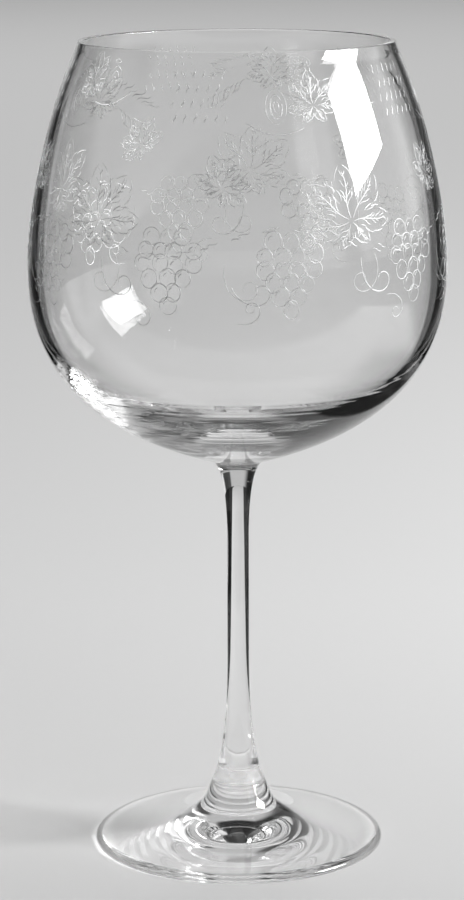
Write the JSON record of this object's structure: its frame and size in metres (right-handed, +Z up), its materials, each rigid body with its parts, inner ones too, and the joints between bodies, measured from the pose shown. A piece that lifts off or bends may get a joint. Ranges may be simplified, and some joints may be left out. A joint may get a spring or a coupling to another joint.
{
  "type": "balloon wine glass",
  "caption": "Stemmed red-wine glass with a wide balloon bowl narrowing to the lip, a slim flared stem and a round foot, in clear glass.",
  "frame": {"origin": "centre of the surface that the foot stands on", "axes": "+Z up along the axis of the stem and bowl; the glass is round, so X and Y are free"},
  "size_m": [0.1096, 0.1096, 0.215],
  "materials": {
    "foot_glass": "clear pressed glass, fire polished",
    "stem_glass": "clear drawn glass, fire polished",
    "bowl_glass": "clear blown glass with a finely engraved vine"
  },
  "bodies": {
    "root": {"foot": "foot_glass", "stem": "stem_glass", "bowl": "bowl_glass"}
  },
  "joints": []
}
